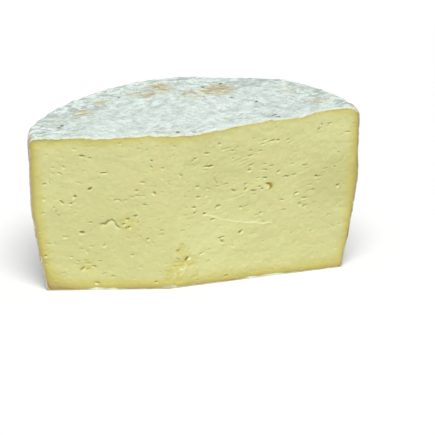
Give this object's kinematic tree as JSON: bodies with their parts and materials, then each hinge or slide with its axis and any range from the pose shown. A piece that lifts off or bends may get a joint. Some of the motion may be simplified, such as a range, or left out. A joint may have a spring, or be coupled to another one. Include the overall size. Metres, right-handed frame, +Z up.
{
  "type": "part wheel of white-rinded farmhouse cheese",
  "caption": "Just over half of a round, tall cheese wheel with a dry mould rind, opened by two knife cuts that show a pale yellow paste with small openings.",
  "frame": {"origin": "the wheel's own axis, on its flat base", "axes": "+Z up along the wheel's axis, +X to the right along the cut faces, -Y the side from which the cheese was cut away"},
  "size_m": [0.2078, 0.1235, 0.1106],
  "materials": {
    "paste": "pale yellow, close, waxy paste with small slits and eyes, cut with a knife",
    "rind": "dry, wrinkled rind under white and grey-green mould with tan patches"
  },
  "bodies": {
    "root": {"cheese": "paste"}
  },
  "joints": []
}
